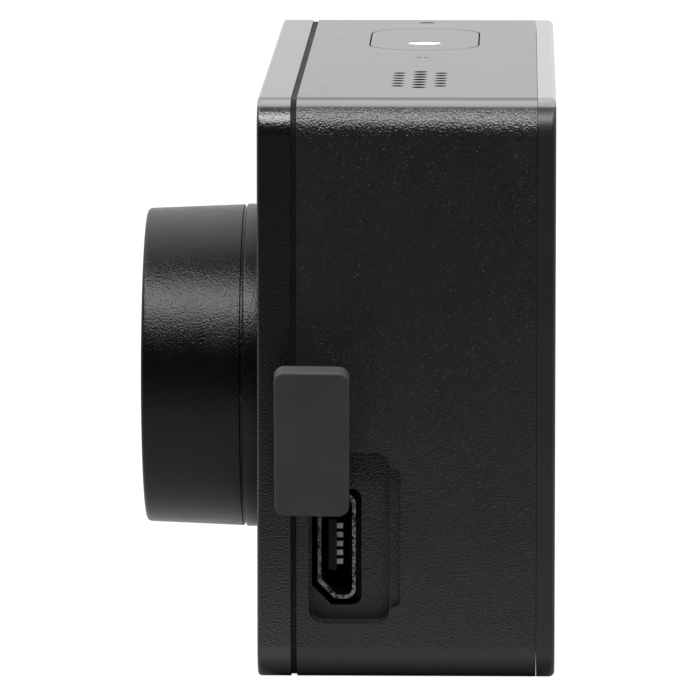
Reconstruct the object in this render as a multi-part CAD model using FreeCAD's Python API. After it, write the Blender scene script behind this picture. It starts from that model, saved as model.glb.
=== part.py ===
import FreeCAD, Part
import math
import os

# Compact action camera with a fixed lens, a rear touch screen, a covered USB socket on one
# side, a battery and card bay in the bottom and a shutter button on top.
# Row frame: the origin is the middle of the tripod socket's mouth on the bottom face.
# +X points to the side with the USB socket, -Y to the front (lens) and +Z up.
# All sizes are in millimetres.

# ---------------------------------------------------------------- driving dimensions
body_width = 65.0
body_height = 42.0
front_face_y = -10.7
rear_face_y = 10.7
corner_radius = 2.5
wall = 1.6

front_cover_depth = 2.4
gasket_gap = 0.43
rear_cover_depth = 1.33
seam = 0.03

lens_x = 16.0
lens_z = 20.72
lens_front_y = -19.29
lens_front_radius = 11.55
lens_base_radius = 11.9
base_ring_height = 1.25
ring_groove = 0.22

pocket_y = (-6.99, -1.17)
pocket_z = (4.20, 16.66)
pocket_depth = 2.0
nail_groove_z = (5.30, 15.55)
nail_groove_reach = 0.77
port_y = (-6.39, -3.66)
port_z = (5.67, 13.3)

button_x = -14.0
top_line_y = 0.75
button_length = 17.8
button_width = 8.46
button_travel = 0.4
light_x = -10.97
light_radius = 1.27
status_x = -27.5
status_radius = 0.6

speaker_x = 17.15
speaker_pitch_x = 1.87
speaker_pitch_y = 1.55
microphone_x = 0.52
microphone_gap = 0.55

door_x = (-29.88, -7.6)
door_y = (-6.58, 7.18)
door_thickness = 1.2
hinge_x = -7.6
hinge_z = 1.35
knuckle_radius = 1.25
hinge_pin_radius = 0.5

battery_x = (-29.0, -10.5)
battery_y = (-4.5, 6.5)
battery_z = (3.2, 34.2)

tripod_radius = 3.175
tripod_depth = 5.6

# The tethered USB cover is drawn closed and then carried to the way it hangs: it turns about
# the tether's outer end, and the tether turns about its pin in the pocket.
strap_pin_point = (31.058, -5.399, 13.905)
strap_pin_axis = (-0.01161, -0.95505, -0.29623)
strap_swing = 122.56
cover_pivot_point = (31.163, -3.377, 8.800)
cover_pivot_axis = (-0.04817, 0.96109, 0.27200)
cover_turn = 145.16

# ---------------------------------------------------------------- worked-out sizes
half_width = body_width / 2
frame_front_y = front_face_y + front_cover_depth + gasket_gap
rear_seam_y = rear_face_y - rear_cover_depth
frame_rear_y = rear_seam_y - seam
pocket_floor_x = half_width - pocket_depth
top_inside_z = body_height - wall
base_ring_y = front_face_y - base_ring_height
hood_rear_y = base_ring_y - ring_groove


# ---------------------------------------------------------------- helpers
def block(x, y, z):
    size = (x[1] - x[0], y[1] - y[0], z[1] - z[0])
    return Part.makeBox(size[0], size[1], size[2], FreeCAD.Vector(x[0], y[0], z[0]))


def edges_along(shape, direction):
    chosen = []
    for edge in shape.Edges:
        if len(edge.Vertexes) != 2:
            continue
        along = edge.Vertexes[1].Point.sub(edge.Vertexes[0].Point)
        if along.Length > 0 and abs(along.normalize().dot(direction)) > 0.999:
            chosen.append(edge)
    return chosen


def rounded_block(x, y, z, radius, direction):
    """A block whose four edges along one direction are rounded."""
    body = block(x, y, z)
    return body.makeFillet(radius, edges_along(body, FreeCAD.Vector(*direction)))


def rod(start, direction, radius, length):
    return Part.makeCylinder(radius, length, FreeCAD.Vector(*start), FreeCAD.Vector(*direction))


def turned(profile):
    """A ring or disc on the lens axis, from (radius, y) corners."""
    points = [FreeCAD.Vector(lens_x + radius, y, lens_z) for radius, y in profile]
    outline = Part.Wire(Part.makePolygon(points + [points[0]]))
    axis_point = FreeCAD.Vector(lens_x, 0, lens_z)
    return Part.Face(outline).revolve(axis_point, FreeCAD.Vector(0, 1, 0), 360)


def lens_element(radius, front_y, rear_y, front_bulge, rear_bulge):
    """A glass element with two spherical faces; a bulge is the height of the dome."""
    def spot(r, y):
        return FreeCAD.Vector(lens_x + r, y, lens_z)

    def dome_height(r, bulge):
        curve = (radius * radius + bulge * bulge) / (2 * abs(bulge))
        height = math.sqrt(curve * curve - r * r) - (curve - abs(bulge))
        return math.copysign(height, bulge)

    middle = radius / 2
    front = Part.Arc(spot(0, front_y - front_bulge),
                     spot(middle, front_y - dome_height(middle, front_bulge)),
                     spot(radius, front_y)).toShape()
    rim = Part.makeLine(spot(radius, front_y), spot(radius, rear_y))
    rear = Part.Arc(spot(radius, rear_y),
                    spot(middle, rear_y + dome_height(middle, rear_bulge)),
                    spot(0, rear_y + rear_bulge)).toShape()
    middle_line = Part.makeLine(spot(0, rear_y + rear_bulge), spot(0, front_y - front_bulge))
    outline = Part.Wire([front, rim, rear, middle_line])
    return Part.Face(outline).revolve(spot(0, 0), FreeCAD.Vector(0, 1, 0), 360)


def pill(middle_x, middle_y, length, width, z):
    """An upright block with half-round ends, its long way along X."""
    half = (length - width) / 2
    radius = width / 2
    height = z[1] - z[0]
    body = block((middle_x - half, middle_x + half),
                 (middle_y - radius, middle_y + radius), z)
    for end in (-half, half):
        body = body.fuse(rod((middle_x + end, middle_y, z[0]), (0, 0, 1), radius, height))
    return body.removeSplitter()


def extrude_outline(points, reach):
    """A flat outline pushed along the vector reach."""
    corners = [FreeCAD.Vector(*point) for point in points]
    outline = Part.Wire(Part.makePolygon(corners + [corners[0]]))
    return Part.Face(outline).extrude(FreeCAD.Vector(*reach))


def body_slab(y, inset=0.0):
    """The outline of the whole body, drawn in by an inset, between two y places."""
    x = (-half_width + inset, half_width - inset)
    z = (inset, body_height - inset)
    radius = max(corner_radius - inset, 0.4)
    return rounded_block(x, y, z, radius, (0, 1, 0))


def save(name, *solids):
    shape = solids[0] if len(solids) == 1 else Part.makeCompound(list(solids))
    shape.exportStep("parts/" + name + ".step")


# ---------------------------------------------------------------- USB pocket and port
port_chamfer = 1.25


def port_outline(x, length, grow):
    """The socket's outline: a slot with its two front corners cut off."""
    low_y, high_y = port_y[0] - grow, port_y[1] + grow
    low_z, high_z = port_z[0] - grow, port_z[1] + grow
    cut = port_chamfer + 0.4 * grow
    points = [(x, low_y, low_z + cut), (x, low_y + cut, low_z), (x, high_y, low_z),
              (x, high_y, high_z), (x, low_y + cut, high_z), (x, low_y, high_z - cut)]
    body = extrude_outline(points, (length, 0, 0))
    rear_edges = [edge for edge in edges_along(body, FreeCAD.Vector(1, 0, 0))
                  if edge.Vertexes[0].Y > high_y - 0.01]
    return body.makeFillet(0.7 + 0.5 * min(grow, 0), rear_edges)


pocket_radius = 1.1
port_clearance = 0.43
usb_block_x = 28.9


def cut_usb_pocket(frame):
    lining = block((usb_block_x, half_width - wall + 0.2), (frame_front_y, 1.0), (2.0, 18.5))
    frame = frame.fuse(lining)
    pocket = rounded_block((pocket_floor_x, half_width + 1), pocket_y, pocket_z,
                           pocket_radius, (1, 0, 0))
    groove_y = (pocket_y[1] - 1.0, pocket_y[1] + nail_groove_reach)
    nail_groove = rounded_block((half_width - 0.9, half_width + 1), groove_y,
                                nail_groove_z, 0.6, (1, 0, 0))
    port = port_outline(usb_block_x - 1, pocket_floor_x - usb_block_x + 2, port_clearance)
    return frame.cut(pocket).cut(nail_groove).cut(port)


# ---------------------------------------------------------------- housing
screw_places = [(-28.9, 38.7), (29.4, 38.8), (28.6, 3.4), (8.5, 3.4)]
boss_radius = 1.9
boss_rear_y = 8.2
screw_radius = 0.8
screw_head_radius = 1.35
screw_head_y = 6.4
speaker_columns = [(-1, 6, 0.47), (0, 7, 0.53), (1, 6, 0.47)]


def cut_top_openings(frame):
    z = (top_inside_z - 1, body_height + 1)
    depth = z[1] - z[0]
    frame = frame.cut(pill(button_x, top_line_y, button_length, button_width, z))
    frame = frame.cut(rod((status_x, top_line_y, z[0]), (0, 0, 1), status_radius + 0.02, depth))
    for side in (-0.5, 0.5):
        place = (microphone_x, top_line_y + side * microphone_gap, z[0])
        frame = frame.cut(rod(place, (0, 0, 1), 0.18, depth))
    for column, count, radius in speaker_columns:
        for step in range(count):
            x = speaker_x + (step - (count - 1) / 2) * speaker_pitch_x
            y = top_line_y + column * speaker_pitch_y
            frame = frame.cut(rod((x, y, z[0]), (0, 0, 1), radius, depth))
    return frame


door_gap = 0.12
ear_lengths = [(door_y[0] - door_gap, -4.5), (5.1, door_y[1] + door_gap)]


def cut_battery_opening(frame):
    opening = rounded_block((door_x[0] - door_gap, hinge_x + knuckle_radius + 0.15),
                            (door_y[0] - door_gap, door_y[1] + door_gap),
                            (-1, wall + 0.5), 0.7, (0, 0, 1))
    frame = frame.cut(opening)
    for low, high in ear_lengths:
        ear = rod((hinge_x, low, hinge_z), (0, 1, 0), knuckle_radius, high - low)
        web = block((hinge_x, hinge_x + knuckle_radius + 0.6), (low, high), (hinge_z, 2.6))
        frame = frame.fuse(ear).fuse(web)
    pin_bore = rod((hinge_x, door_y[0] - door_gap - 0.3, hinge_z), (0, 1, 0),
                   hinge_pin_radius, door_y[1] - door_y[0] + 2 * door_gap + 0.6)
    return frame.cut(pin_bore)


lug_gap = 1.3
lug_width = 0.45


def strap_lugs():
    """Two small lugs on the pocket floor that hold the tether's pin."""
    lugs = []
    x = (pocket_floor_x - 0.2, strap_pin_point[0] + 0.38)
    for side in (-1, 1):
        middle = strap_pin_point[1] + side * (lug_gap + lug_width) / 2
        drop = side * (lug_gap + lug_width) / 2 * strap_pin_axis[2] / strap_pin_axis[1]
        z = strap_pin_point[2] + drop
        lugs.append(block(x, (middle - lug_width / 2, middle + lug_width / 2),
                          (z - 0.45, z + 0.45)))
    return lugs


def build_middle_frame():
    frame = body_slab((frame_front_y, frame_rear_y))
    frame = frame.cut(body_slab((frame_front_y - 1, frame_rear_y + 1), wall))
    for x, z in screw_places:
        boss = rod((x, frame_front_y, z), (0, 1, 0), boss_radius, boss_rear_y - frame_front_y)
        frame = frame.fuse(boss)
    frame = frame.common(body_slab((frame_front_y, frame_rear_y)))
    frame = cut_usb_pocket(frame)
    for lug in strap_lugs():
        frame = frame.fuse(lug)
    frame = frame.cut(strap_pin(0.0))
    for x, z in screw_places:
        frame = frame.cut(rod((x, frame_front_y - 1, z), (0, 1, 0), screw_radius, 20))
        frame = frame.cut(rod((x, screw_head_y, z), (0, 1, 0), screw_head_radius + 0.05, 5))
    frame = cut_top_openings(frame)
    frame = cut_battery_opening(frame)
    frame = frame.cut(rod((0, 0, -1), (0, 0, 1), insert_radius, wall + 2))
    save("middle_frame", frame.removeSplitter())


front_edge_radius = 0.28
cover_boss_rear_y = frame_front_y - 0.05


def build_front_cover():
    cover = body_slab((front_face_y, front_face_y + front_cover_depth))
    rim = [edge for edge in cover.Edges if edge.CenterOfMass.y < front_face_y + 0.01]
    cover = cover.makeFillet(front_edge_radius, rim)
    inside = body_slab((front_face_y + 1.4, front_face_y + 5), wall)
    cover = cover.cut(inside)
    for x, z in screw_places:
        start = front_face_y + 1.3
        boss = rod((x, start, z), (0, 1, 0), boss_radius - 0.1, cover_boss_rear_y - start)
        pilot = rod((x, start + 0.3, z), (0, 1, 0), screw_radius, 3)
        boss = boss.common(body_slab((front_face_y, 0), gasket_inset[1] - 0.1))
        cover = cover.fuse(boss).cut(pilot)
    cover = cover.cut(rod((lens_x, front_face_y - 1, lens_z), (0, 1, 0), spigot_radius, 4))
    save("front_cover", cover)


gasket_inset = (0.14, 1.55)


def build_frame_gasket():
    y = (front_face_y + front_cover_depth, frame_front_y)
    gasket = body_slab(y, gasket_inset[0])
    gasket = gasket.cut(body_slab((y[0] - 1, y[1] + 1), gasket_inset[1]))
    for x, z in screw_places:
        gasket = gasket.cut(rod((x, y[0] - 1, z), (0, 1, 0), boss_radius, 3))
    save("frame_gasket", gasket)


rear_edge_radius = 0.42
glass_x = 29.85
glass_z = (2.75, 39.25)
screen_x = 27.2
screen_z = (4.6, 37.4)
glass_seat_y = rear_face_y - 0.82


def build_rear_cover():
    cover = body_slab((rear_seam_y, rear_face_y))
    rim = [edge for edge in cover.Edges if edge.CenterOfMass.y > rear_face_y - 0.01]
    cover = cover.makeFillet(rear_edge_radius, rim)
    seat = rounded_block((-glass_x - 0.1, glass_x + 0.1), (glass_seat_y, rear_face_y + 1),
                         (glass_z[0] - 0.1, glass_z[1] + 0.1), 1.7, (0, 1, 0))
    window = rounded_block((-screen_x - 0.2, screen_x + 0.2), (rear_seam_y - 1, rear_face_y + 1),
                           (screen_z[0] - 0.2, screen_z[1] + 0.2), 0.6, (0, 1, 0))
    cover = cover.cut(seat).cut(window)
    top_rib = block((-8, 8), (rear_seam_y - 1.2, rear_seam_y + 0.3),
                    (top_inside_z - 0.8, top_inside_z - 0.1))
    bottom_rib = block((12, 26), (rear_seam_y - 0.8, rear_seam_y + 0.3), (wall + 0.1, wall + 0.8))
    save("rear_cover", cover.fuse(top_rib).fuse(bottom_rib))


def build_screws():
    screws = []
    for x, z in screw_places:
        shank = rod((x, front_face_y + 2.0, z), (0, 1, 0), screw_radius, screw_head_y
                    - front_face_y - 2.0)
        head = rod((x, screw_head_y, z), (0, 1, 0), screw_head_radius, 1.0)
        slot_a = block((x - 0.8, x + 0.8), (screw_head_y + 0.5, screw_head_y + 2),
                       (z - 0.15, z + 0.15))
        slot_b = block((x - 0.15, x + 0.15), (screw_head_y + 0.5, screw_head_y + 2),
                       (z - 0.8, z + 0.8))
        screws.append(shank.fuse(head).cut(slot_a).cut(slot_b))
    save("case_screws", *screws)


# ---------------------------------------------------------------- screen
def build_screen():
    glass = rounded_block((-glass_x, glass_x), (glass_seat_y + 0.12, rear_face_y - 0.06),
                          glass_z, 1.6, (0, 1, 0))
    save("touch_glass", glass)
    outer = rounded_block((-glass_x + 0.2, glass_x - 0.2), (glass_seat_y, glass_seat_y + 0.12),
                          (glass_z[0] + 0.2, glass_z[1] - 0.2), 1.4, (0, 1, 0))
    inner = block((-screen_x - 0.2, screen_x + 0.2), (glass_seat_y - 1, glass_seat_y + 1),
                  (screen_z[0] - 0.2, screen_z[1] + 0.2))
    save("glass_adhesive", outer.cut(inner))
    panel = block((-screen_x, screen_x), (8.55, glass_seat_y + 0.06), screen_z)
    save("lcd_panel", panel)
    backlight = rounded_block((-screen_x + 0.5, screen_x - 0.5), (8.3, 8.5),
                              (screen_z[0] + 0.4, screen_z[1] - 0.4), 0.8, (0, 1, 0))
    save("backlight_plate", backlight)
    strip = extrude_outline([(2, 4.1, 8.0), (2, 8.3, 8.0), (2, 8.3, 8.15), (2, 4.25, 8.15),
                             (2, 4.25, 11.0), (2, 4.1, 11.0)], (7, 0, 0))
    save("display_flex", strip)


# ---------------------------------------------------------------- lens
spigot_radius = 9.6
spigot_length = 1.6
hood_bore = 9.0
glass_seat = lens_front_y + 1.6


def build_lens_rings():
    base = turned([(9.1, front_face_y + spigot_length), (9.1, base_ring_y),
                   (lens_base_radius - 0.15, base_ring_y),
                   (lens_base_radius, base_ring_y + 0.15), (lens_base_radius, front_face_y),
                   (spigot_radius - 0.03, front_face_y),
                   (spigot_radius - 0.03, front_face_y + spigot_length)])
    save("lens_base_ring", base)
    neck_radius = lens_base_radius - 0.35
    edge = 0.3
    hood = turned([(hood_bore + 0.6, base_ring_y), (neck_radius, base_ring_y),
                   (neck_radius, hood_rear_y), (lens_base_radius - 0.17, hood_rear_y),
                   (lens_base_radius - 0.05, hood_rear_y - 0.12),
                   (lens_front_radius, lens_front_y + edge),
                   (lens_front_radius - 0.1, lens_front_y + 0.09),
                   (lens_front_radius - edge, lens_front_y),
                   (10.2, lens_front_y), (hood_bore + 0.1, lens_front_y + 0.7),
                   (hood_bore + 0.1, glass_seat), (hood_bore + 0.1, glass_seat + 1.0),
                   (hood_bore - 0.8, glass_seat + 1.0), (hood_bore - 0.8, glass_seat + 1.8),
                   (hood_bore + 0.6, glass_seat + 1.8)])
    save("lens_ring", hood)
    cover_glass = turned([(0, glass_seat - 0.1), (hood_bore - 0.15, glass_seat - 0.1),
                          (hood_bore, glass_seat + 0.05), (hood_bore, glass_seat + 0.95),
                          (0, glass_seat + 0.95)])
    save("lens_cover_glass", cover_glass)
    baffle_front = glass_seat + 2.0
    trim = turned([(9.4, baffle_front), (7.6, baffle_front), (5.8, baffle_front + 1.6),
                   (5.8, baffle_front + 2.2), (9.4, baffle_front + 2.2)])
    save("lens_trim_ring", trim)


barrel_front_y = -14.6
barrel_rear_y = -3.0


def build_lens_barrel():
    barrel = turned([(5.5, barrel_front_y), (4.9, barrel_front_y), (4.9, -11.9), (4.0, -11.9),
                     (4.0, -9.6), (3.5, -9.6), (3.5, -6.4), (3.1, -6.4), (3.1, barrel_rear_y),
                     (4.2, barrel_rear_y), (4.2, -8.8), (5.5, -8.8)])
    save("lens_barrel", barrel)
    save("front_lens_element", lens_element(4.85, -14.2, -12.4, 1.1, -1.4))
    save("middle_lens_element", lens_element(3.95, -11.4, -9.8, -0.7, 0.9))
    save("rear_lens_element", lens_element(3.05, -6.0, -4.3, 0.7, 0.6))


def build_sensor():
    holder = rounded_block((lens_x - 7, lens_x + 7), (-5.0, -0.7), (lens_z - 7, lens_z + 7),
                           1.0, (0, 1, 0))
    holder = holder.cut(rod((lens_x, -6, lens_z), (0, 1, 0), 4.25, 4.0))
    cavity = block((lens_x - 5.4, lens_x + 5.4), (-2.0, 0), (lens_z - 5.0, lens_z + 5.0))
    save("sensor_holder", holder.cut(cavity))
    save("infrared_filter", block((lens_x - 4.6, lens_x + 4.6), (-1.95, -1.65),
                                  (lens_z - 4.0, lens_z + 4.0)))
    save("image_sensor", block((lens_x - 4.8, lens_x + 4.8), (-1.55, -0.65),
                               (lens_z - 4.3, lens_z + 4.3)))
    board = rounded_block((lens_x - 10, lens_x + 10), (-0.6, 0.2), (lens_z - 10, lens_z + 10),
                          0.8, (0, 1, 0))
    save("sensor_board", board)
    plate = rounded_block((6.5, 28.7), (0.7, 1.5), (7.5, 35.5), 1.5, (0, 1, 0))
    save("heat_spreader", plate)
    flex = extrude_outline([(6.0, 0.25, 17), (2.4, 0.25, 17), (2.4, 2.7, 17), (5.0, 2.7, 17),
                            (5.0, 2.55, 17), (2.55, 2.55, 17), (2.55, 0.4, 17),
                            (6.0, 0.4, 17)], (0, 0, 8))
    save("sensor_flex", flex)


# ---------------------------------------------------------------- electronics
board_y = (2.8, 3.6)
board_screw_places = [(-6.0, 9.0), (-6.0, 33.6), (27.6, 9.0), (27.6, 33.6)]


def build_main_board():
    board = rounded_block((-7.8, 29.6), board_y, (6.9, 35.8), 0.8, (0, 1, 0))
    screws = []
    for x, z in board_screw_places:
        board = board.cut(rod((x, 0, z), (0, 1, 0), 0.85, 10))
        shank = rod((x, board_y[0] - 0.9, z), (0, 1, 0), 0.8, 1.7)
        head = rod((x, board_y[1], z), (0, 1, 0), 1.4, 0.6)
        slot = block((x - 0.9, x + 0.9), (board_y[1] + 0.35, board_y[1] + 1), (z - 0.15, z + 0.15))
        screws.append(shank.fuse(head).cut(slot))
    save("main_board", board)
    save("board_screws", *screws)
    shield = rounded_block((10.5, 25.5), (board_y[1], 5.2), (13.5, 30.5), 0.8, (0, 1, 0))
    inside = block((10.7, 25.3), (board_y[1] - 1, 5.0), (13.7, 30.3))
    save("processor_shield", shield.cut(inside))
    save("processor", block((13.0, 23.0), (board_y[1], 4.7), (17.0, 27.0)))
    chips = [block((x, x + 6.5), (1.75, board_y[0]), (z, z + 8)) for x in (9.5, 19.0)
             for z in (10.5, 24.0)]
    save("memory_chips", *chips)
    port_board = block((24.2, 28.7), (port_y[1] + 0.02, port_y[1] + 0.82), (5.5, 15.4))
    save("port_board", port_board)
    antenna = extrude_outline([(-7.0, 5.6, 36.0), (8.0, 5.6, 36.0), (8.0, 5.6, 39.8),
                               (-3.0, 5.6, 39.8), (-3.0, 5.6, 37.4), (-7.0, 5.6, 37.4)],
                              (0, 0.3, 0))
    save("antenna", antenna)


def build_microphone_and_speaker():
    capsule = rounded_block((microphone_x - 1.6, microphone_x + 1.6),
                            (top_line_y - 1.3, top_line_y + 1.3), (39.0, 40.0), 0.3, (0, 0, 1))
    save("microphone", capsule)
    boot = rounded_block((microphone_x - 2.1, microphone_x + 2.1),
                         (top_line_y - 1.8, top_line_y + 1.8), (38.8, top_inside_z), 0.5, (0, 0, 1))
    boot = boot.cut(block((microphone_x - 1.6, microphone_x + 1.6),
                          (top_line_y - 1.3, top_line_y + 1.3), (38, top_inside_z + 1)))
    save("microphone_boot", boot)
    half = (6.6, 3.2)
    speaker_box = rounded_block((speaker_x - half[0], speaker_x + half[0]),
                                (top_line_y - half[1], top_line_y + half[1]), (36.5, 39.4),
                                1.5, (0, 0, 1))
    dish = rounded_block((speaker_x - 5.6, speaker_x + 5.6),
                         (top_line_y - 2.2, top_line_y + 2.2), (38.9, 40), 1.0, (0, 0, 1))
    save("speaker", speaker_box.cut(dish))
    gasket = rounded_block((speaker_x - half[0], speaker_x + half[0]),
                           (top_line_y - half[1], top_line_y + half[1]), (39.4, 40.2),
                           1.5, (0, 0, 1))
    gasket = gasket.cut(rounded_block((speaker_x - 6.0, speaker_x + 6.0),
                                      (top_line_y - 2.4, top_line_y + 2.4), (39, 41), 1.0,
                                      (0, 0, 1)))
    save("speaker_gasket", gasket)
    mesh = rounded_block((speaker_x - half[0], speaker_x + half[0]),
                         (top_line_y - half[1], top_line_y + half[1]), (40.2, top_inside_z),
                         1.5, (0, 0, 1))
    save("speaker_mesh", mesh)


# ---------------------------------------------------------------- shutter button
cap_gap = 0.11
cap_flange_z = (39.65, 40.3)
switch_top_z = 37.5


def build_shutter_button():
    cap = pill(button_x, top_line_y, button_length - 2 * cap_gap, button_width - 2 * cap_gap,
               (cap_flange_z[0], body_height))
    flange = pill(button_x, top_line_y, button_length + 1.2, button_width + 1.2, cap_flange_z)
    stem = rod((button_x, top_line_y, switch_top_z + button_travel + 0.05), (0, 0, 1), 1.1, 2.2)
    cap = cap.fuse(flange).fuse(stem)
    cap = cap.cut(rod((light_x, top_line_y, 39), (0, 0, 1), light_radius + 0.01, 4))
    save("shutter_button", cap)
    save("button_light_window", rod((light_x, top_line_y, 40.4), (0, 0, 1), light_radius,
                                    body_height - 0.04 - 40.4))
    save("status_window", rod((status_x, top_line_y, 40.3), (0, 0, 1), status_radius,
                              body_height - 0.03 - 40.3))


def build_button_switch():
    board = rounded_block((-24.5, -4.2), (-4.2, 5.2), (36.1, 36.7), 0.8, (0, 0, 1))
    save("button_board", board)
    case = block((button_x - 2.3, button_x + 2.3), (top_line_y - 2.3, top_line_y + 2.3),
                 (36.7, 37.1))
    save("button_switch", case.fuse(rod((button_x, top_line_y, 37.1), (0, 0, 1), 0.9,
                                        switch_top_z - 37.1)))
    light = block((light_x - 0.7, light_x + 0.7), (top_line_y - 0.7, top_line_y + 0.7),
                  (36.7, 37.3))
    save("button_lamp", light)
    flex = extrude_outline([(-4.2, 1.6, 36.5), (-2.6, 1.6, 36.5), (-2.6, 1.6, 35.82),
                            (-2.75, 1.6, 35.82), (-2.75, 1.6, 36.35), (-4.2, 1.6, 36.35)],
                           (0, 3.0, 0))
    save("button_flex", flex)


# ---------------------------------------------------------------- USB socket and cover
shell_wall = 0.25


def build_usb_socket():
    mouth_x = pocket_floor_x - 0.2
    shell = port_outline(24.8, mouth_x - 24.8, 0.0)
    cavity = port_outline(25.05, 6, -shell_wall)
    save("usb_socket_shell", shell.cut(cavity))
    middle_z = (port_z[0] + port_z[1]) / 2
    tongue_y = (-5.62, -5.05)
    tongue = block((25.05, mouth_x - 0.7), tongue_y, (middle_z - 1.85, middle_z + 1.85))
    contacts = []
    for step in range(5):
        z = middle_z + (step - 2) * 0.65
        strip = block((25.4, mouth_x - 1.3), (tongue_y[1] - 0.08, tongue_y[1] + 0.45),
                      (z - 0.19, z + 0.19))
        tongue = tongue.cut(strip)
        contacts.append(strip)
    save("usb_tongue", tongue)
    save("usb_contacts", *contacts)


cover_margin = 0.2
cover_side_margin = 0.245
cover_thickness = 1.0
strap_thickness = 0.5
strap_width = 0.85
strap_eye_radius = 0.5
pin_radius = 0.28


def strap_pin(clearance):
    """The pin in the pocket that the tether turns on."""
    axis = FreeCAD.Vector(*strap_pin_axis).normalize()
    length = lug_gap + 2 * lug_width
    start = FreeCAD.Vector(*strap_pin_point).sub(axis * (length / 2))
    return Part.makeCylinder(pin_radius + clearance, length, start, axis)


def round_bar(point, axis, radius, length):
    """A cylinder centred on a point."""
    direction = FreeCAD.Vector(*axis).normalize()
    start = FreeCAD.Vector(*point).sub(direction * (length / 2))
    return Part.makeCylinder(radius, length, start, direction)


def closed_strap():
    start = FreeCAD.Vector(*strap_pin_point)
    end = FreeCAD.Vector(*cover_pivot_point)
    along = end.sub(start)
    across = FreeCAD.Vector(*strap_pin_axis).normalize()
    outward = across.cross(along).normalize()
    if outward.x < 0:
        outward = outward * -1
    side = along.cross(outward).normalize()
    corner = start.sub(side * (strap_width / 2)).sub(outward * (strap_thickness / 2))
    points = [corner, corner.add(side * strap_width),
              corner.add(side * strap_width).add(along), corner.add(along)]
    bar = Part.Face(Part.Wire(Part.makePolygon(points + [points[0]])))
    bar = bar.extrude(outward * strap_thickness)
    eye = round_bar(strap_pin_point, strap_pin_axis, strap_eye_radius, strap_width)
    bead = round_bar(cover_pivot_point, cover_pivot_axis, 0.42, 1.7)
    strap = bar.fuse(eye).fuse(bead)
    return strap.cut(strap_pin(0.04))


def closed_cover():
    y = (pocket_y[0] + cover_side_margin, pocket_y[1] - cover_side_margin)
    z = (pocket_z[0] + cover_margin, pocket_z[1] - cover_margin)
    plate = rounded_block((half_width - cover_thickness, half_width), y, z, 0.8, (1, 0, 0))
    rim = [edge for edge in plate.Edges if edge.CenterOfMass.x > half_width - 0.01]
    plate = plate.makeFillet(0.2, rim)
    plug = rounded_block((half_width - cover_thickness - 0.55, half_width - cover_thickness + 0.1),
                         (y[0] + 0.45, y[0] + 1.65), (port_z[0] + 0.5, port_z[1] - 1.9),
                         0.3, (1, 0, 0))
    plate = plate.fuse(plug)
    bead_relief = round_bar(cover_pivot_point, cover_pivot_axis, 0.55, 2.1)
    eye_relief = round_bar(strap_pin_point, strap_pin_axis, strap_eye_radius + 0.12,
                           strap_width + 0.3)
    return plate.cut(bead_relief).cut(eye_relief)


def hang_open(shape, with_cover_turn):
    """Carry a piece from the closed pocket to where it hangs open."""
    moved = shape.copy()
    if with_cover_turn:
        moved.rotate(FreeCAD.Vector(*cover_pivot_point), FreeCAD.Vector(*cover_pivot_axis),
                     cover_turn)
    moved.rotate(FreeCAD.Vector(*strap_pin_point), FreeCAD.Vector(*strap_pin_axis), strap_swing)
    return moved


def build_usb_cover():
    save("usb_cover", hang_open(closed_cover(), True))
    save("usb_strap", hang_open(closed_strap(), False))
    save("strap_pin", strap_pin(0.0))


# ---------------------------------------------------------------- battery bay
bay_wall = 0.7
card_x = (-25.0, -14.0)
card_y = (-5.85, -5.05)
card_z = (4.0, 19.0)
latch_travel = 1.2
latch_x = (-28.6, -24.6)
latch_y = (-1.2, 1.8)
latch_bolt_z = (wall + 0.15, wall + 0.75)
latch_bolt_reach = 0.62


def build_inner_chassis():
    x = (battery_x[0] - 0.9 - bay_wall, battery_x[1] + 0.8 + bay_wall)
    y = (-6.3 - bay_wall, battery_y[1] + 0.4 + bay_wall)
    z = (1.9, battery_z[1] + 0.7 + bay_wall)
    chassis = block(x, y, z)
    room = block((x[0] + bay_wall, x[1] - bay_wall), (y[0] + bay_wall, y[1] - bay_wall),
                 (0, z[1] - bay_wall))
    slots = block((battery_x[0] + 5.0, battery_x[0] + 13.4), (-1.4, 1.4), (z[1] - 2, z[1] + 1))
    bolt_way = block((x[0] - 1, x[0] + bay_wall + 0.1),
                     (latch_y[0] - 0.1, latch_y[1] + 0.1), (z[0] - 1, latch_bolt_z[1] + 0.25))
    save("inner_chassis", chassis.cut(room).cut(slots).cut(bolt_way))
    contacts = []
    for step in range(3):
        left = battery_x[0] + 5.4 + step * 2.9
        contacts.append(block((left, left + 1.6), (-1.1, 1.1), (battery_z[1] + 0.06,
                                                                z[1] + 0.15)))
    save("battery_contacts", *contacts)


def build_battery():
    pack = rounded_block(battery_x, battery_y, battery_z, 1.2, (0, 0, 1))
    notch = block((battery_x[0] + 7.6, battery_x[0] + 10.9), (battery_y[0] - 1, battery_y[0] + 0.6),
                  (battery_z[0] - 1, battery_z[0] + 2.2))
    save("battery_pack", pack.cut(notch))
    tab = block((battery_x[0] + 6.0, battery_x[0] + 12.5), (battery_y[1] - 2.2, battery_y[1] - 2.0),
                (battery_z[0] - 0.9, battery_z[0]))
    save("battery_pull_tab", tab)


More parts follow.
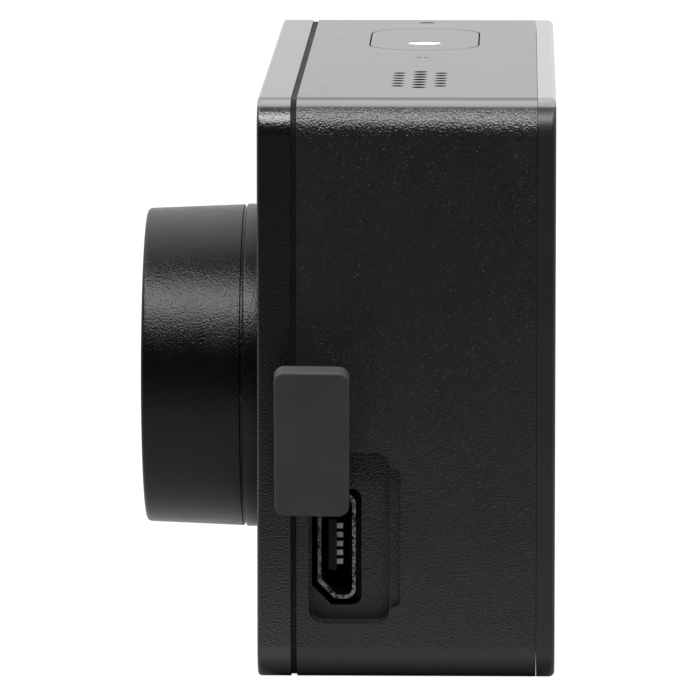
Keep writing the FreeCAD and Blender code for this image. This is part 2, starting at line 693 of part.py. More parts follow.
def build_memory_card():
    card = block(card_x, card_y, card_z)
    grip = block((card_x[0] + 1.0, card_x[1] - 1.0), (card_y[1] - 0.15, card_y[1] + 1),
                 (card_z[0] + 0.3, card_z[0] + 0.9))
    corner = extrude_outline([(card_x[1] + 1, card_y[0] - 1, card_z[1] + 1),
                              (card_x[1] - 1.6, card_y[0] - 1, card_z[1] + 1),
                              (card_x[1] + 1, card_y[0] - 1, card_z[1] - 3)], (0, 4, 0))
    save("memory_card", card.cut(grip).cut(corner))
    cage = block((card_x[0] - 0.6, card_x[1] + 0.6), (card_y[0] - 0.35, card_y[1] + 0.3),
                 (6.6, 20.6))
    room = block((card_x[0] - 0.1, card_x[1] + 0.1), (card_y[0] - 0.1, card_y[1] + 0.1), (5, 20.2))
    save("card_socket", cage.cut(room))




def build_battery_door():
    plate = rounded_block((door_x[0], hinge_x), door_y, (0.0, door_thickness), 0.6, (0, 0, 1))
    for low, high in ear_lengths:
        notch = block((hinge_x - knuckle_radius - 0.25, hinge_x + 3), (low - 1, high + door_gap)
                      if low < 0 else (low - door_gap, high + 1), (-1, 3))
        plate = plate.cut(notch)
    knuckle_y = (ear_lengths[0][1] + door_gap, ear_lengths[1][0] - door_gap)
    knuckle = rod((hinge_x, knuckle_y[0], hinge_z), (0, 1, 0), knuckle_radius,
                  knuckle_y[1] - knuckle_y[0])
    door = plate.fuse(knuckle)
    door = door.cut(rod((hinge_x, -9, hinge_z), (0, 1, 0), hinge_pin_radius + 0.04, 18))
    finger = rounded_block((latch_x[0] - latch_travel - 0.1, latch_x[1] + 0.1),
                           (latch_y[0] - 0.1, latch_y[1] + 0.1), (-1, 0.55), 0.4, (0, 0, 1))
    slot = block((latch_x[0] - latch_travel + 0.6, latch_x[1] - 0.5),
                 (latch_y[0] + 0.8, latch_y[1] - 0.8), (-1, 3))
    save("battery_door", door.cut(finger).cut(slot))
    pin = rod((hinge_x, door_y[0] - door_gap - 0.3, hinge_z), (0, 1, 0), hinge_pin_radius,
              door_y[1] - door_y[0] + 2 * door_gap + 0.6)
    save("door_hinge_pin", pin)


def build_door_latch():
    grip = rounded_block(latch_x, latch_y, (0.05, 0.5), 0.35, (0, 0, 1))
    for step in range(4):
        x = latch_x[0] + 0.7 + step * 0.75
        grip = grip.cut(block((x, x + 0.3), (latch_y[0] - 1, latch_y[1] + 1), (-1, 0.2)))
    post = block((latch_x[0] + 0.7, latch_x[1] - 0.7), (latch_y[0] + 0.9, latch_y[1] - 0.9),
                 (0.4, latch_bolt_z[0] + 0.2))
    bolt = block((latch_x[0] - latch_bolt_reach, latch_x[1] - 0.4),
                 (latch_y[0] + 0.2, latch_y[1] - 0.2), latch_bolt_z)
    save("door_latch", grip.fuse(post).fuse(bolt))


def build_door_seal():
    outer = rounded_block((-23.4, -10.6), (door_y[0] + 1.2, door_y[1] - 1.2),
                          (door_thickness, door_thickness + 0.3), 1.0, (0, 0, 1))
    inner = rounded_block((-22.4, -11.6), (door_y[0] + 2.2, door_y[1] - 2.2),
                          (0, 5), 0.6, (0, 0, 1))
    save("door_seal", outer.cut(inner))


# ---------------------------------------------------------------- tripod socket
insert_radius = 4.4


def build_tripod_insert():
    insert = rod((0, 0, 0), (0, 0, 1), insert_radius - 0.02, tripod_depth + 0.8)
    flange = rod((0, 0, wall + 0.02), (0, 0, 1), 5.2, 0.9)
    bore = rod((0, 0, -1), (0, 0, 1), tripod_radius, tripod_depth + 1)
    save("tripod_insert", insert.fuse(flange).cut(bore))


os.makedirs("parts", exist_ok=True)
build_middle_frame()
build_front_cover()
build_frame_gasket()
build_rear_cover()
build_screws()
build_screen()
build_lens_rings()
build_lens_barrel()
build_sensor()
build_main_board()
build_microphone_and_speaker()
build_shutter_button()
build_button_switch()
build_usb_socket()
build_usb_cover()
build_inner_chassis()
build_battery()
build_memory_card()
build_battery_door()
build_door_latch()
build_door_seal()
build_tripod_insert()
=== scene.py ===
import math

import bpy
import numpy as np
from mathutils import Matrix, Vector


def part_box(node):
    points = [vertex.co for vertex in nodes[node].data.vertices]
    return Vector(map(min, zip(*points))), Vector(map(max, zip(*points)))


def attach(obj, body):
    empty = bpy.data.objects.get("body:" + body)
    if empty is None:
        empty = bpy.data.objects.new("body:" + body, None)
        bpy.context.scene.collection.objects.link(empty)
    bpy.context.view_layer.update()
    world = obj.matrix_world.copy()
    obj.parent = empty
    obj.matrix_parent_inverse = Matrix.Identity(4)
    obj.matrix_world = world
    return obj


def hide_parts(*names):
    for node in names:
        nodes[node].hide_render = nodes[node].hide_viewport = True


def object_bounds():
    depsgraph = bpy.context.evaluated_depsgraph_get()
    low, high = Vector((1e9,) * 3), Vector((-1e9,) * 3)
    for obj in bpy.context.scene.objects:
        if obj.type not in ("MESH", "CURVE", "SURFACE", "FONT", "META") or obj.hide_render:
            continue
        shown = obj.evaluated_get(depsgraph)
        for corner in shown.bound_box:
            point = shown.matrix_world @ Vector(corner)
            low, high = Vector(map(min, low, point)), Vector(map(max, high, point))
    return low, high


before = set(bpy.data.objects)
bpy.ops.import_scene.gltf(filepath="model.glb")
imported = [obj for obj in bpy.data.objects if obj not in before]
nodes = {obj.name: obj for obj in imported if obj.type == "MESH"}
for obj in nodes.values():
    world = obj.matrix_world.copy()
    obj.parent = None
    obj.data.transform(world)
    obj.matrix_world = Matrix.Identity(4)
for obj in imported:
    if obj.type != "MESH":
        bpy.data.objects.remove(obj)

cad_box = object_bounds()

# ---------------------------------------------------------------- camera
# A long lens stands level with the camera's side, a little above its top face,
# and looks down at it by less than eight degrees.

camera_data = bpy.data.cameras.new("studio_camera")
camera_data.sensor_width = 36.0
camera_data.lens = 392.5
camera_data.clip_start = 0.05
camera_data.clip_end = 60.0
camera = bpy.data.objects.new("studio_camera", camera_data)
bpy.context.scene.collection.objects.link(camera)
camera_turn = math.radians(1.278)
camera_drop = math.radians(7.765)
looking = Vector((-math.cos(camera_drop) * math.cos(camera_turn),
                  -math.cos(camera_drop) * math.sin(camera_turn),
                  -math.sin(camera_drop)))
camera.location = (0.57368, 0.008055, 0.097895)
camera.rotation_mode = "QUATERNION"
camera.rotation_quaternion = looking.to_track_quat("-Z", "Y")
bpy.context.scene.camera = camera
bpy.context.scene.view_settings.view_transform = "Standard"


# ---------------------------------------------------------------- studio
# A pale floor runs out of sight in every direction. The backdrop behind the object is
# bright, a soft box hangs over the camera, and the room behind the camera is dim.

def put(tree, kind, **inputs):
    """Add one shader node; each keyword is an input's name, with a value or a socket."""
    node = tree.nodes.new(kind)
    for name, value in inputs.items():
        socket = node.inputs[name.replace("_", " ")]
        if isinstance(value, bpy.types.NodeSocket):
            tree.links.new(value, socket)
        else:
            socket.default_value = value
    return node


def arithmetic(tree, operation, first, second=0.0):
    node = tree.nodes.new("ShaderNodeMath")
    node.operation = operation
    for place, value in enumerate((first, second)):
        if isinstance(value, bpy.types.NodeSocket):
            tree.links.new(value, node.inputs[place])
        else:
            node.inputs[place].default_value = value
    return node.outputs[0]


def band(tree, value, low, high):
    """0 below low, 1 above high, with a smooth step between."""
    node = tree.nodes.new("ShaderNodeMapRange")
    node.interpolation_type = "SMOOTHSTEP"
    tree.links.new(value, node.inputs["Value"])
    node.inputs["From Min"].default_value = low
    node.inputs["From Max"].default_value = high
    return node.outputs["Result"]


def blend_values(tree, factor, low, high):
    """low where the factor is 0 and high where it is 1, for numbers or sockets."""
    node = tree.nodes.new("ShaderNodeMix")
    node.data_type = "FLOAT"
    for socket, value in ((node.inputs[0], factor), (node.inputs[2], low), (node.inputs[3], high)):
        if isinstance(value, bpy.types.NodeSocket):
            tree.links.new(value, socket)
        else:
            socket.default_value = value
    return node.outputs[0]


def light_the_room():
    """Brightness by direction: the backdrop on -X, the soft box high on +X, a dim rest."""
    world = bpy.data.worlds.new("studio_room")
    bpy.context.scene.world = world
    world.use_nodes = True
    tree = world.node_tree
    tree.nodes.clear()
    direction = tree.nodes.new("ShaderNodeTexCoord").outputs["Generated"]
    parts = tree.nodes.new("ShaderNodeSeparateXYZ")
    tree.links.new(direction, parts.inputs[0])
    near, side, up = parts.outputs["X"], parts.outputs["Y"], parts.outputs["Z"]
    away = arithmetic(tree, "MULTIPLY", near, -1.0)
    back = arithmetic(tree, "ADD", band(tree, away, -0.1, 0.35),
                      arithmetic(tree, "MULTIPLY", band(tree, up, 0.3, 0.8), 1.0))
    back = arithmetic(tree, "MULTIPLY", back, band(tree, away, -0.2, 0.1))
    box = arithmetic(tree, "MULTIPLY", band(tree, up, 0.60, 0.74),
                     arithmetic(tree, "SUBTRACT", 1.0, band(tree, up, 0.86, 0.96)))
    box = arithmetic(tree, "MULTIPLY", box, band(tree, near, 0.02, 0.2))
    flanks = arithmetic(tree, "MULTIPLY", band(tree, arithmetic(tree, "ABSOLUTE", side),
                                               0.72, 0.9),
                        arithmetic(tree, "MULTIPLY", band(tree, up, 0.02, 0.2),
                                   arithmetic(tree, "SUBTRACT", 1.0,
                                              band(tree, up, 0.5, 0.68))))
    total = arithmetic(tree, "ADD", back, arithmetic(tree, "MULTIPLY", box, 11.5))
    total = arithmetic(tree, "ADD", total, arithmetic(tree, "MULTIPLY", flanks, 0.5))
    total = arithmetic(tree, "ADD", total, 0.02)
    seen = tree.nodes.new("ShaderNodeLightPath").outputs["Is Camera Ray"]
    shown = blend_values(tree, seen, total, 1.0)
    backdrop = put(tree, "ShaderNodeBackground", Strength=shown)
    output = tree.nodes.new("ShaderNodeOutputWorld")
    tree.links.new(backdrop.outputs[0], output.inputs["Surface"])


def lay_the_floor():
    """A white floor; what it throws back is a painted pool of light that fades to grey some way in
    front of the object, and it drops almost to nothing round the object's footprint as painted shadow.
    """
    half = 6.0
    height = cad_box[0].z - 0.0002
    corners = [(-half, -half, height), (half, -half, height),
               (half, half, height), (-half, half, height)]
    mesh = bpy.data.meshes.new("studio_floor")
    mesh.from_pydata(corners, [], [(0, 1, 2, 3)])
    floor = bpy.data.objects.new("studio_floor", mesh)
    bpy.context.scene.collection.objects.link(floor)
    paint = bpy.data.materials.new("studio_floor")
    paint.use_nodes = True
    tree = paint.node_tree
    shader = tree.nodes["Principled BSDF"]
    shader.inputs["Base Color"].default_value = (0.05, 0.05, 0.05, 1)
    shader.inputs["Roughness"].default_value = 1.0
    shader.inputs["Specular IOR Level"].default_value = 0.0
    shader.inputs["Emission Color"].default_value = (1, 1, 1, 1)
    place = tree.nodes.new("ShaderNodeTexCoord").outputs["Object"]
    parts = tree.nodes.new("ShaderNodeSeparateXYZ")
    tree.links.new(place, parts.inputs[0])
    fade = band(tree, parts.outputs["X"], 0.03, 0.13)
    thrown = blend_values(tree, fade, 0.62, 0.015)
    # Painted shadow: round the object's footprint the floor throws back only 3 per cent of its light.
    low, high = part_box("front_cover")[0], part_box("rear_cover")[1]
    middle, reach = (low + high) / 2, (high - low) / 2
    off_x = arithmetic(tree, "SUBTRACT", arithmetic(tree, "ABSOLUTE", arithmetic(
        tree, "SUBTRACT", parts.outputs["X"], middle.x)), reach.x)
    off_y = arithmetic(tree, "SUBTRACT", arithmetic(tree, "ABSOLUTE", arithmetic(
        tree, "SUBTRACT", parts.outputs["Y"], middle.y)), reach.y)
    outside_painted_shadow = band(tree, arithmetic(tree, "MAXIMUM", off_x, off_y), -0.002, 0.003)
    thrown = arithmetic(tree, "MULTIPLY", thrown, blend_values(tree, outside_painted_shadow, 0.03, 1.0))
    seen = tree.nodes.new("ShaderNodeLightPath").outputs["Is Camera Ray"]
    tree.links.new(blend_values(tree, seen, thrown, 1.0), shader.inputs["Emission Strength"])
    mesh.materials.append(paint)


light_the_room()
lay_the_floor()


# ---------------------------------------------------------------- middle frame
# The wrap-around body is moulded in black glass-filled plastic. Its sides carry a fine
# spark-eroded grain; the top is left smooth, and the grain stops at a hairline.

def shader_group(name, inputs, outputs):
    """An empty node group with named float inputs (name, default) and named outputs."""
    group = bpy.data.node_groups.new(name, "ShaderNodeTree")
    for label, value in inputs:
        socket = group.interface.new_socket(label, in_out="INPUT", socket_type="NodeSocketFloat")
        socket.default_value = value
    for label, kind in outputs:
        group.interface.new_socket(label, in_out="OUTPUT", socket_type=kind)
    start = group.nodes.new("NodeGroupInput")
    end = group.nodes.new("NodeGroupOutput")
    return group, start, end


def make_grain_group():
    """Moulded grain: a fine pebble and a slower mottle, both on object coordinates."""
    group, start, end = shader_group(
        "moulded_grain",
        [("Pebbles per Metre", 9000.0), ("Mottle per Metre", 260.0)],
        [("Height", "NodeSocketFloat"), ("Speckle", "NodeSocketFloat"),
         ("Mottle", "NodeSocketFloat")])
    place = group.nodes.new("ShaderNodeTexCoord").outputs["Object"]
    fine = put(group, "ShaderNodeTexNoise", Vector=place, Detail=1.0, Roughness=0.5)
    group.links.new(start.outputs["Pebbles per Metre"], fine.inputs["Scale"])
    slow = put(group, "ShaderNodeTexNoise", Vector=place, Detail=4.0, Roughness=0.55)
    group.links.new(start.outputs["Mottle per Metre"], slow.inputs["Scale"])
    group.links.new(fine.outputs[0], end.inputs["Height"])
    group.links.new(band(group, fine.outputs[0], 0.52, 0.72), end.inputs["Speckle"])
    group.links.new(band(group, slow.outputs[0], 0.35, 0.68), end.inputs["Mottle"])
    return group


def make_handling_group():
    """Light handling marks: thin scratches, greasy patches and settled dust specks."""
    group, start, end = shader_group(
        "handling_marks", [("Amount", 1.0)],
        [("Scratches", "NodeSocketFloat"), ("Grease", "NodeSocketFloat"),
         ("Dust", "NodeSocketFloat")])
    place = group.nodes.new("ShaderNodeTexCoord").outputs["Object"]
    lean = put(group, "ShaderNodeMapping", Vector=place)
    lean.inputs["Rotation"].default_value = (0.6, 0.35, 1.1)
    lean.inputs["Scale"].default_value = (3200.0, 120.0, 420.0)
    hairs = put(group, "ShaderNodeTexNoise", Vector=lean.outputs[0], Scale=1.0, Detail=1.0)
    patches = put(group, "ShaderNodeTexNoise", Vector=place, Scale=90.0, Detail=3.0)
    specks = put(group, "ShaderNodeTexVoronoi", Vector=place, Scale=900.0)
    scratch = arithmetic(group, "MULTIPLY", band(group, hairs.outputs[0], 0.70, 0.76),
                         start.outputs["Amount"])
    grease = arithmetic(group, "MULTIPLY", band(group, patches.outputs[0], 0.42, 0.70),
                        start.outputs["Amount"])
    near = arithmetic(group, "SUBTRACT", 1.0, band(group, specks.outputs["Distance"], 0.03, 0.07))
    dust = arithmetic(group, "MULTIPLY", arithmetic(group, "MULTIPLY", near, band(
        group, patches.outputs[0], 0.50, 0.62)), start.outputs["Amount"])
    group.links.new(scratch, end.inputs["Scratches"])
    group.links.new(grease, end.inputs["Grease"])
    group.links.new(dust, end.inputs["Dust"])
    return group


grain_group = make_grain_group()
handling_group = make_handling_group()


def new_finish(name, metallic=0.0, ior=1.46):
    """A material with its shader, its metallic and its IOR set."""
    paint = bpy.data.materials.new(name)
    paint.use_nodes = True
    tree = paint.node_tree
    shader = tree.nodes["Principled BSDF"]
    shader.inputs["Metallic"].default_value = metallic
    shader.inputs["IOR"].default_value = ior
    return paint, tree, shader


def use_group(tree, group, **values):
    node = tree.nodes.new("ShaderNodeGroup")
    node.node_tree = group
    for name, value in values.items():
        node.inputs[name.replace("_", " ")].default_value = value
    return node


def blend_colours(tree, factor, low, high):
    node = tree.nodes.new("ShaderNodeMix")
    node.data_type = "RGBA"
    for socket, value in ((node.inputs[0], factor), (node.inputs[6], low), (node.inputs[7], high)):
        if isinstance(value, bpy.types.NodeSocket):
            tree.links.new(value, socket)
        elif isinstance(value, float):
            socket.default_value = value
        else:
            socket.default_value = (*value, 1.0)
    return node.outputs[2]


def add_bump(tree, shader, height, metres, strength=1.0):
    bump = put(tree, "ShaderNodeBump", Height=height, Strength=strength)
    bump.inputs["Distance"].default_value = metres
    tree.links.new(bump.outputs["Normal"], shader.inputs["Normal"])
    return bump


frame_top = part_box("middle_frame")[1].z
lip_height = 0.00022


def grained_plastic(name, dark, light, roughness, depth, pebbles=9000.0, top_line=None,
                    marks=1.0, polish=(0.08, 0.12), ior=1.5, gloss=0.5,
                    flat_coat=0.0):
    """Grained black plastic; above top_line (metres) it is smooth, with a hairline between.
    A glossy coat lies on the rounding above the line, and flat_coat of it on the top."""
    paint, tree, shader = new_finish(name, ior=ior)
    grain = use_group(tree, grain_group, Pebbles_per_Metre=pebbles)
    handling = use_group(tree, handling_group, Amount=marks)
    colour = blend_colours(tree, grain.outputs["Mottle"], dark, light)
    colour = blend_colours(tree, arithmetic(tree, "MULTIPLY", handling.outputs["Dust"], 0.25),
                           colour, (0.32, 0.31, 0.3))
    rough = blend_values(tree, grain.outputs["Speckle"], roughness[0], roughness[1])
    rough = arithmetic(tree, "SUBTRACT", rough, arithmetic(
        tree, "MULTIPLY", handling.outputs["Grease"], 0.05))
    height = grain.outputs["Height"]
    if top_line is not None:
        lip_top = frame_top - 0.00002
        place = tree.nodes.new("ShaderNodeTexCoord").outputs["Object"]
        split = tree.nodes.new("ShaderNodeSeparateXYZ")
        tree.links.new(place, split.inputs[0])
        above = band(tree, split.outputs["Z"], top_line - 0.00001, top_line + 0.00001)
        line = arithmetic(tree, "ABSOLUTE", arithmetic(tree, "SUBTRACT", split.outputs["Z"],
                                                       top_line))
        hair = arithmetic(tree, "SUBTRACT", 1.0, band(tree, line, 0.00003, 0.00007))
        smooth = blend_values(tree, grain.outputs["Mottle"], polish[0], polish[1])
        rough = blend_values(tree, above, rough, smooth)
        level = band(tree, split.outputs["Z"], lip_top - lip_height, lip_top)
        coat = arithmetic(tree, "MULTIPLY", above, blend_values(tree, level, 0.95, flat_coat))
        tree.links.new(coat, shader.inputs["Coat Weight"])
        shader.inputs["Coat IOR"].default_value = 2.5
        shader.inputs["Coat Roughness"].default_value = 0.09
        height = blend_values(tree, above, height, 0.5)
        height = arithmetic(tree, "SUBTRACT", height, arithmetic(tree, "MULTIPLY", hair, 2.0))
        colour = blend_colours(tree, arithmetic(tree, "MULTIPLY", hair, 0.8), colour,
                               (0.002, 0.002, 0.002))
    tree.links.new(colour, shader.inputs["Base Color"])
    tree.links.new(rough, shader.inputs["Roughness"])
    shader.inputs["Specular IOR Level"].default_value = gloss
    add_bump(tree, shader, height, depth)
    return paint


def dress(finish, *names):
    """Give CAD nodes a finish in place of their plain one."""
    for name in names:
        mesh = nodes[name].data
        mesh.materials.clear()
        mesh.materials.append(finish)


top_hairline = frame_top - 0.00053
body_finish = grained_plastic("body_black", (0.003, 0.003, 0.0032), (0.005, 0.005, 0.0054),
                              (0.29, 0.35), 0.00006, pebbles=7200.0, top_line=top_hairline,
                              marks=0.3, ior=1.62)
dress(body_finish, "middle_frame")


def break_edges(node, width, limit=0.6):
    """Weld the part's seams, then round each edge that turns more than limit by width."""
    weld = nodes[node].modifiers.new("weld", "WELD")
    weld.merge_threshold = 0.000002
    bevel = nodes[node].modifiers.new("broken_edges", "BEVEL")
    bevel.width = width
    bevel.segments = 2
    bevel.limit_method = "ANGLE"
    bevel.angle_limit = limit
    bevel.use_clamp_overlap = True
    bevel.miter_outer = "MITER_ARC"
    weighted = nodes[node].modifiers.new("face_normals", "WEIGHTED_NORMAL")
    weighted.keep_sharp = True


break_edges("middle_frame", 0.00006)


# ---------------------------------------------------------------- front and rear covers
# The front cover carries the lens and the rear cover frames the screen. Both are moulded
# in the same black plastic with a finer, silkier surface than the middle frame.

front_finish = grained_plastic("front_cover_black", (0.0004, 0.0004, 0.0004), (0.0008, 0.0008, 0.0008),
                               (0.22, 0.28), 0.00003, pebbles=7200.0,
                               top_line=top_hairline, marks=0.3, polish=(0.07, 0.1),
                               ior=1.75, flat_coat=0.3)
rear_finish = grained_plastic("rear_cover_black", (0.008, 0.008, 0.0085), (0.011, 0.011, 0.0115),
                              (0.36, 0.44), 0.000004, pebbles=7200.0,
                              top_line=top_hairline, marks=0.3, polish=(0.06, 0.09),
                              ior=1.5, flat_coat=1.0)
dress(front_finish, "front_cover")
dress(rear_finish, "rear_cover")


# ---------------------------------------------------------------- frame gasket
# A thin black silicone strip is squeezed between front cover and frame; it lies deep
# in the groove and takes almost no light.

gasket_finish = grained_plastic("gasket_silicone", (0.003, 0.003, 0.003), (0.006, 0.006, 0.006),
                                (0.55, 0.75), 0.000008, pebbles=7000.0, gloss=0.12)
dress(gasket_finish, "frame_gasket", "microphone_boot", "door_seal")


# ---------------------------------------------------------------- lens rings
# Turned aluminium rings, bead-blasted and anodised black: the blasting leaves a sparkle
# that breaks up every highlight.

def blasted_metal(name, colour, roughness, depth, pebbles):
    paint, tree, shader = new_finish(name, ior=1.5)
    grain = use_group(tree, grain_group, Pebbles_per_Metre=pebbles, Mottle_per_Metre=420.0)
    handling = use_group(tree, handling_group, Amount=0.7)
    lighter = tuple(2.6 * part for part in colour)
    shade = blend_colours(tree, grain.outputs["Speckle"], colour, lighter)
    shade = blend_colours(tree, arithmetic(tree, "MULTIPLY", handling.outputs["Scratches"], 0.3),
                          shade, (0.1, 0.1, 0.1))
    rough = blend_values(tree, grain.outputs["Mottle"], roughness[0], roughness[1])
    tree.links.new(shade, shader.inputs["Base Color"])
    tree.links.new(rough, shader.inputs["Roughness"])
    shader.inputs["Specular IOR Level"].default_value = 0.28
    add_bump(tree, shader, grain.outputs["Height"], depth)
    return paint


hood_finish = blasted_metal("hood_anodised", (0.0015, 0.0015, 0.0016), (0.22, 0.28), 0.00003, 7200.0)
base_finish = blasted_metal("base_ring_anodised", (0.002, 0.002, 0.0021), (0.20, 0.26), 0.000026,
                            7200.0)


def rounded_corners(corners, radii, steps=6):
    """A closed outline whose corners become curves that start one radius from the corner."""
    corners = np.array(corners, dtype=float)
    path = []
    for place, (corner, radius) in enumerate(zip(corners, radii)):
        before, after = corners[place - 1], corners[(place + 1) % len(corners)]
        near = min(radius, 0.45 * np.linalg.norm(before - corner),
                   0.45 * np.linalg.norm(after - corner))
        start = corner + near * (before - corner) / np.linalg.norm(before - corner)
        end = corner + near * (after - corner) / np.linalg.norm(after - corner)
        along = np.linspace(0.0, 1.0, steps + 1)[:, None]
        path.append((1 - along) ** 2 * start + 2 * along * (1 - along) * corner
                    + along ** 2 * end)
    return np.concatenate(path)


def mesh_object(name, points, faces, finish, smooth=True):
    mesh = bpy.data.meshes.new(name)
    mesh.from_pydata(points.tolist(), [], faces.tolist())
    mesh.polygons.foreach_set("use_smooth", np.full(len(mesh.polygons), smooth))
    mesh.materials.append(finish)
    piece = bpy.data.objects.new(name, mesh)
    bpy.context.scene.collection.objects.link(piece)
    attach(piece, "housing")
    return piece


def turned_piece(name, outline, middle, finish, turns=288):
    """A ring turned about an axis along Y: each (radius, y) of the closed outline goes to
    (middle.x + radius cos t, y, middle.z + radius sin t) for t from 0 to a full turn."""
    outline = np.array(outline)
    ahead = np.roll(outline, -1, axis=0)
    area = np.sum(outline[:, 0] * ahead[:, 1] - ahead[:, 0] * outline[:, 1])
    if area > 0:
        outline = outline[::-1]
    angle = np.linspace(0.0, 2 * np.pi, turns, endpoint=False)
    around = np.stack([np.cos(angle), np.sin(angle)])
    points = np.empty((turns, len(outline), 3))
    points[:, :, 0] = middle.x + around[0][:, None] * outline[:, 0]
    points[:, :, 1] = outline[:, 1]
    points[:, :, 2] = middle.z + around[1][:, None] * outline[:, 0]
    turn, place = np.meshgrid(np.arange(turns), np.arange(len(outline)), indexing="ij")
    next_turn, next_place = (turn + 1) % turns, (place + 1) % len(outline)
    count = len(outline)
    faces = np.stack([turn * count + place, next_turn * count + place,
                      next_turn * count + next_place, turn * count + next_place],
                     axis=-1).reshape(-1, 4)
    return mesh_object(name, points.reshape(-1, 3), faces, finish)


base_low, base_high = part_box("lens_base_ring")
hood_low, hood_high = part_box("lens_ring")
lens_middle = (base_low + base_high) / 2
base_radius = (base_high.x - base_low.x) / 2
groove_width = 0.00018
hood_rear = base_low.y - groove_width
neck_radius = base_radius - 0.00022
front_radius = base_radius - 0.00035
bore_radius = 0.0091
spigot_radius = 0.00957
spigot_length = 0.0016
stop_radius = 0.0082
seat = hood_low.y + 0.0016
stop_front, stop_rear = seat + 0.001, seat + 0.0018

base_outline = rounded_corners(
    [(bore_radius, base_high.y), (bore_radius, base_low.y), (base_radius, base_low.y),
     (base_radius, base_high.y - spigot_length), (spigot_radius, base_high.y - spigot_length),
     (spigot_radius, base_high.y)], [0.00014] * 6)
base_piece = turned_piece("base_ring_turned", base_outline, lens_middle, base_finish)
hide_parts("lens_base_ring")

hood_outline = rounded_corners(
    [(0.0096, base_low.y), (neck_radius, base_low.y), (neck_radius, hood_rear),
     (base_radius - 0.00005, hood_rear), (front_radius, hood_low.y),
     (0.0102, hood_low.y), (bore_radius, hood_low.y + 0.0007), (bore_radius, stop_front),
     (stop_radius, stop_front), (stop_radius, stop_rear), (0.0096, stop_rear)],
    [0.00005, 0.00003, 0.00003, 0.00012, 0.0004, 0.0002, 0.0002, 0.0001, 0.0001, 0.0001, 0.0001])
hood_piece = turned_piece("hood_turned", hood_outline, lens_middle, hood_finish)
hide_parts("lens_ring")


# ---------------------------------------------------------------- lens glass
# The flat cover glass is coated, and the elements behind it are tinted magenta and green as a
# painted reflection of their coatings' coloured reflections; the tint also colours the light passing
# through.

def coated_glass(name, tint, roughness=0.02):
    paint, tree, shader = new_finish(name, ior=1.5)
    shader.inputs["Transmission Weight"].default_value = 1.0
    smear = use_group(tree, handling_group, Amount=1.0)
    rough = blend_values(tree, smear.outputs["Grease"], roughness, roughness + 0.03)
    colour = blend_colours(tree, smear.outputs["Dust"], tint, tuple(0.9 * part for part in tint))
    tree.links.new(colour, shader.inputs["Base Color"])
    tree.links.new(rough, shader.inputs["Roughness"])
    return paint


dress(coated_glass("cover_glass", (0.86, 0.9, 0.95)), "lens_cover_glass")
# Painted reflection: the lens elements' magenta and green tints stand in for their coatings' coloured
# reflections.
dress(coated_glass("magenta_painted_reflection", (0.62, 0.42, 0.85)), "front_lens_element")
dress(coated_glass("green_painted_reflection", (0.4, 0.8, 0.62)), "middle_lens_element", "rear_lens_element")
dress(coated_glass("filter_tint", (0.5, 0.85, 0.8)), "infrared_filter")

trim_finish = grained_plastic("baffle_black", (0.003, 0.003, 0.003), (0.006, 0.006, 0.006),
                              (0.7, 0.85), 0.00001)
dress(trim_finish, "lens_trim_ring", "lens_barrel", "sensor_holder", "inner_chassis",
      "speaker", "glass_adhesive", "speaker_gasket", "port_board")


# ---------------------------------------------------------------- touch screen
# Black glass covers the display; the printed border is a touch blacker than the panel
# below, and fingertips leave soft smears on it.

def screen_glass():
    paint, tree, shader = new_finish("screen_glass", ior=1.52)
    place = tree.nodes.new("ShaderNodeTexCoord").outputs["Object"]
    split = tree.nodes.new("ShaderNodeSeparateXYZ")
    tree.links.new(place, split.inputs[0])
    low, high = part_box("lcd_panel")
    middle_z = (low.z + high.z) / 2
    across = arithmetic(tree, "SUBTRACT", high.x - 0.003,
                        arithmetic(tree, "ABSOLUTE", split.outputs["X"]))
    upright = arithmetic(tree, "SUBTRACT", (high.z - low.z) / 2 - 0.002, arithmetic(
        tree, "ABSOLUTE", arithmetic(tree, "SUBTRACT", split.outputs["Z"], middle_z)))
    inside = band(tree, arithmetic(tree, "MINIMUM", across, upright), -0.00005, 0.00005)
    smear = use_group(tree, handling_group, Amount=1.0)
    colour = blend_colours(tree, inside, (0.003, 0.003, 0.0035), (0.012, 0.013, 0.016))
    tree.links.new(colour, shader.inputs["Base Color"])
    rough = blend_values(tree, smear.outputs["Grease"], 0.04, 0.13)
    rough = blend_values(tree, smear.outputs["Scratches"], rough, 0.3)
    tree.links.new(rough, shader.inputs["Roughness"])
    return paint


dress(screen_glass(), "touch_glass")


# ---------------------------------------------------------------- top controls
# The shutter button is the same black plastic, left smooth; its light shines through a
# milky window. The second, smoked window further along hides a charging lamp.

button_finish = grained_plastic("button_black", (0.008, 0.008, 0.0085), (0.012, 0.012, 0.0125),
                                (0.09, 0.13), 0.000001, pebbles=11000.0)
dress(button_finish, "shutter_button")


def milky_window(name, colour, glow):
    paint, tree, shader = new_finish(name)
    grain = use_group(tree, grain_group, Pebbles_per_Metre=6000.0, Mottle_per_Metre=900.0)
    lighter = tuple(min(1.0, 1.08 * part) for part in colour)
    shade = blend_colours(tree, grain.outputs["Mottle"], colour, lighter)
    tree.links.new(shade, shader.inputs["Base Color"])
    tree.links.new(shade, shader.inputs["Emission Color"])
    shader.inputs["Emission Strength"].default_value = glow
    rough = blend_values(tree, grain.outputs["Speckle"], 0.18, 0.28)
    tree.links.new(rough, shader.inputs["Roughness"])
    return paint


dress(milky_window("milky_window", (0.9, 0.9, 0.9), 0.75), "button_light_window", "button_lamp")
dress(milky_window("smoked_window", (0.02, 0.02, 0.021), 0.0), "status_window")

mesh_finish = grained_plastic("speaker_cloth", (0.004, 0.004, 0.004), (0.012, 0.012, 0.012),
                              (0.7, 0.9), 0.00003, pebbles=5200.0)
dress(mesh_finish, "speaker_mesh")
